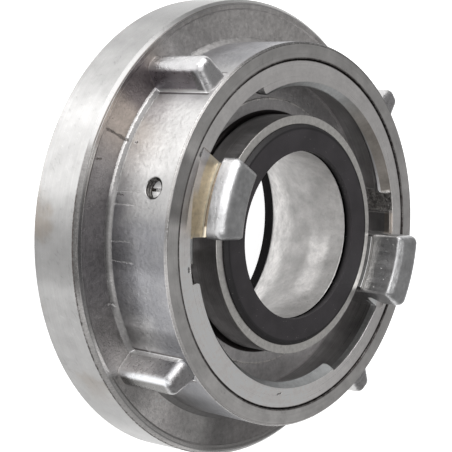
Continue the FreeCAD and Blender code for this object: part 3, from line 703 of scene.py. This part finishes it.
def insert_material():
    """Insert: turned ring face and ledges, dark channel, cast shelf, claws and waterway."""
    n = Nodes("insert_aluminium")
    n.locate()
    radius, height = n.radius, n.height
    noises = insert_noises(n)
    zones = insert_zones(n)
    base = n.mix(zones.shelf, wall_skin(n, noises), shelf_skin(n, noises))
    base = n.mix(zones.face, base, ring_skin(n, noises))
    base = n.mix(zones.bevel, base, bevel_skin(n, noises))
    collar_tone = n.shade((0.74, 0.72, 0.69), n.vary(noises.grain, 0.8, 1.15, WIDE))
    base = n.mix(zones.collar, base, collar_tone)
    base = n.mix(zones.claws, base, claw_skin(n, noises))
    base = n.mix(zones.inside, base, waterway_skin(n, noises))

    # Torn skin at the stop lugs, and a ragged painted highlight on the edge round the shelf
    by_stop = n.either(*(n.near(angle, 3.2, 2.4) for angle in STOP_ANGLES))
    by_stop = n.both(by_stop, n.step(n.math("ADD", noises.torn, by_stop), 0.75, 1.15),
                     n.band(radius, COLLAR_R + 0.5, RING_WALL_R + 0.3, 0.2),
                     n.fall(height, RING_FACE_Z - 0.25, RING_FACE_Z - 0.1))
    base = n.mix(by_stop, base, n.shade((1.0, 0.97, 0.94), n.step(noises.torn, 0.4, 0.68, 0.2, 0.7)))
    shelf_edge_highlight = n.both(n.band(radius, SHELF_EDGE_R, SHELF_EDGE_R + 0.5, 0.15),
                        n.fall(height, SHELF_Z + 0.1, SHELF_Z + 0.3), n.step(noises.torn, 0.4, 0.6),
                        n.math("SUBTRACT", 1.0, zones.inside))
    base = n.mix(shelf_edge_highlight, base, (0.9, 0.87, 0.84))
    base, crease_and_shadow = stained_land(n, noises, base)

    # Cuts in the ring face and a burr on the collar; painted shade in the gap, on the webs and at the
    # collar's root
    cuts = n.marks(RING_CUTS)
    base = n.mix(n.times(cuts, 0.85), base, (0.1, 0.1, 0.1))
    base = n.mix(n.stroke(n.place, *COLLAR_BURR), base, (0.95, 0.94, 0.92))
    gap_shade = n.both(n.step(radius, BODY_BORE_R - 0.6, BODY_BORE_R - 0.45), n.step(height, 44.0, 45.0),
                      n.step(noises.ragged, 0.3, 0.5, 0.6, 1.0))
    base = n.mix(gap_shade, base, (0.06, 0.052, 0.05))
    web_shade = n.both(n.band(radius, COLLAR_R + 0.05, COLLAR_R + 0.94, 0.02),
                 n.band(height, COLLAR_TOP_Z - 0.4, RING_FACE_Z + 0.3, 0.1))
    base = n.mix(web_shade, base, n.shade((1.0, 0.99, 0.97), n.vary(noises.grain, 0.04, 0.08)))
    collar_root_shadow = n.both(n.band(radius, COLLAR_R - 0.3, COLLAR_R + 1.0, 0.3),
                  n.band(height, SHELF_Z - 0.2, SHELF_Z + 1.2, 0.5))
    base = n.mix(collar_root_shadow, base, (0.03, 0.026, 0.026))

    rough = n.mix(zones.skin, n.vary(noises.lines, 0.26, 0.4), n.vary(noises.grain, 0.42, 0.56))
    rough = n.mix(zones.claws, rough, n.vary(noises.streaks, 0.3, 0.42))
    cast_relief = n.math("ADD", noises.grain, n.step(noises.pits, 0.0, 0.2, -0.8, 0.0))
    relief = n.mix(zones.skin, n.times(noises.lines, 0.12), cast_relief)
    relief = n.math("ADD", relief, n.times(by_stop, noises.torn, 2.0))
    relief = n.math("SUBTRACT", relief, n.math("ADD", cuts, crease_and_shadow))
    n.surface(base, rough, relief, BUMP_DEPTH, edge=n.mix(zones.claws, EDGE_SOFT, EDGE_CAST))
    return n.material


def rubber_material():
    """Matt black moulded rubber with faint dust and moulding grain, and painted shade in the front seal's
    bore, on its rim and on the rear seal.
    """
    n = Nodes("seal_rubber")
    n.locate()
    grain = n.noise(n.place, 2.2, 4.0, 0.6)
    dust = n.noise(n.place, 0.12, 4.0, 0.6)
    # Painted shade: the rear seal, the front seal's bore and its rim are darkened
    rear = n.fall(n.height, 18.0, 20.0)
    bore = n.both(n.fall(n.radius, 22.7, 23.1), n.band(n.height, 40.0, 46.9, 2.0))
    rim = n.both(n.band(n.radius, 28.3, 29.6, 0.3), n.step(n.height, 40.0, 41.0))
    lit = n.math("SUBTRACT", 1.0, n.either(bore, n.times(rim, 0.6)))
    tone = n.times(n.span(dust, 0.35, 0.7, 0.022, 0.034), n.vary(grain, 0.9, 1.12),
                   n.mix(rear, 1.0, 0.4), lit)
    specks = n.both(n.fall(n.cells(n.place, 1.3), 0.06, 0.1),
                    n.step(n.noise(n.place, 0.35, 2.0), 0.52, 0.6))
    base = n.mix(specks, n.shade((0.97, 0.86, 0.95), tone), (0.3, 0.29, 0.28))
    shader = n.surface(base, n.vary(grain, 0.5, 0.66), grain, 0.03, metallic=0.0)
    n.feed(shader.inputs["Specular IOR Level"], n.mix(n.either(bore, n.times(rear, 0.8)), 0.4, 0.0))
    return n.material


def steel_material():
    """Machined steel of the set screws, nearly white and barely metallic: a painted highlight that keeps
    them bright.
    """
    n = Nodes("screw_steel")
    n.locate()
    scuff = n.noise(n.place, 3.0, 4.0, 0.6)
    base = n.shade((1.0, 0.99, 0.98), n.vary(scuff, 0.88, 0.98))
    n.surface(base, n.vary(scuff, 0.16, 0.28), scuff, 0.02, metallic=0.15, edge=0.15)
    return n.material


def thread_material():
    """Cut thread in a hole, painted nearly black for the shade inside the hole."""
    n = Nodes("thread_cut")
    n.locate()
    thread_mottle = n.noise(n.place, 2.6, 3.0, 0.6)
    base = n.shade((1.0, 0.95, 0.9), n.span(thread_mottle, 0.4, 0.7, 0.02, 0.14))
    n.surface(base, n.vary(thread_mottle, 0.25, 0.4), thread_mottle, 0.02, edge=0.05)
    return n.material


def give_material(node, material):
    """Puts one material on a node of the frame."""
    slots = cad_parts[node].data.materials
    slots.clear()
    slots.append(material)


def screw_frame(angle):
    """Matrix that takes a hole's own frame, its axis along +X, to its place in the barrel."""
    return Matrix.Rotation(math.radians(angle), 4, "Z") @ Matrix.Translation((0, 0, SCREW_Z * MM))


def thread_liner(name, angle, material):
    """Fine thread ridge inside a hole, from the screw's head to the barrel's surface."""
    mesh = bpy.data.meshes.new(name)
    made = bmesh.new()
    turns = (BARREL_R - SCREW_TOP_R - THREAD_SHORT) / THREAD_PITCH
    profile = ((-THREAD_HALF, THREAD_ROOT_R), (0.0, THREAD_CREST_R), (THREAD_HALF, THREAD_ROOT_R))
    rings = []
    for step in range(int(turns * THREAD_STEPS) + 1):
        turn = step / THREAD_STEPS
        swing = math.tau * turn
        ring = []
        for offset, radius in profile:
            along = SCREW_TOP_R + (turn + offset) * THREAD_PITCH
            place = (along, radius * math.cos(swing), radius * math.sin(swing))
            ring.append(made.verts.new(Vector(place) * MM))
        rings.append(ring)
    for before, after in zip(rings, rings[1:]):
        for low, high in ((0, 1), (1, 2), (2, 0)):
            made.faces.new((before[low], before[high], after[high], after[low]))
    made.faces.new(rings[0])
    made.faces.new(list(reversed(rings[-1])))
    bmesh.ops.recalc_face_normals(made, faces=made.faces)
    made.to_mesh(mesh)
    made.free()
    mesh.transform(screw_frame(angle))
    mesh.materials.append(material)
    liner = bpy.data.objects.new(name, mesh)
    bpy.context.scene.collection.objects.link(liner)
    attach(liner, "outer")


def white_floor():
    """Large pale floor, white to the eye and in reflections, that keeps a soft shadow."""
    n = Nodes("floor_white")
    rays = n.add("LightPath").outputs
    seen = n.either(rays["Is Camera Ray"], rays["Is Glossy Ray"], rays["Is Transmission Ray"])
    glow = n.add("Emission")
    glow.inputs["Color"].default_value = colour(1.0)
    n.feed(glow.inputs["Strength"], n.mix(rays["Is Camera Ray"], n.times(seen, FLOOR_MIRRORED), FLOOR_SEEN))
    matt = n.add("BsdfDiffuse")
    speck = n.noise(n.add("TexCoord").outputs["Object"], 40.0, 3.0)
    n.feed(matt.inputs["Color"], n.mix(speck, 0.8, 0.84))
    both = n.add_fed("AddShader", glow.outputs[0], matt.outputs[0])
    n.feed(n.add("OutputMaterial").inputs["Surface"], both.outputs[0])
    mesh = bpy.data.meshes.new("floor")
    corners = [(x * FLOOR_HALF, y * FLOOR_HALF, 0) for x, y in ((-1, -1), (1, -1), (1, 1), (-1, 1))]
    mesh.from_pydata(corners, [], [(0, 1, 2, 3)])
    mesh.materials.append(n.material)
    floor = bpy.data.objects.new("floor", mesh)
    bpy.context.scene.collection.objects.link(floor)


def soft_light(name, place, size, watts):
    """Square area lamp that points at the part."""
    lamp = bpy.data.lights.new(name, "AREA")
    lamp.size = size
    lamp.energy = watts
    holder = bpy.data.objects.new(name, lamp)
    holder.location = place
    holder.rotation_euler = (Vector(LAMP_AIM) - Vector(place)).to_track_quat("-Z", "Y").to_euler()
    bpy.context.scene.collection.objects.link(holder)


def studio():
    """Plain soft studio light and a dim, even surround."""
    for lamp in LAMPS:
        soft_light(*lamp)
    world = bpy.data.worlds.new("studio")
    bpy.context.scene.world = world
    world.use_nodes = True
    surround = world.node_tree.nodes["Background"].inputs
    surround["Color"].default_value = colour(SURROUND_GREY)
    surround["Strength"].default_value = SURROUND_STRENGTH


def camera():
    """Camera at the photograph's place and angle."""
    right, up = Vector(CAMERA_RIGHT).normalized(), Vector(CAMERA_UP).normalized()
    back = right.cross(up).normalized()
    up = back.cross(right)
    data = bpy.data.cameras.new("camera")
    data.lens = CAMERA_LENS
    data.sensor_width = SENSOR_WIDTH
    data.clip_start = CAMERA_NEAR
    data.clip_end = CAMERA_FAR
    holder = bpy.data.objects.new("camera", data)
    turn = Matrix((right, up, back)).transposed().to_4x4()
    holder.matrix_world = Matrix.Translation(Vector(CAMERA_PLACE) * MM) @ turn
    bpy.context.scene.collection.objects.link(holder)
    bpy.context.scene.camera = holder


bpy.context.scene.view_settings.view_transform = "Standard"
camera()
give_material("outer_body", body_material())
give_material("insert_body", insert_material())
rubber = rubber_material()
give_material("front_gasket", rubber)
give_material("rear_gasket", rubber)
steel = steel_material()
thread = thread_material()
for number, angle in enumerate(SCREW_ANGLES, 1):
    give_material("set_screw_" + str(number), steel)
    thread_liner("thread_" + str(number), angle, thread)
white_floor()
studio()
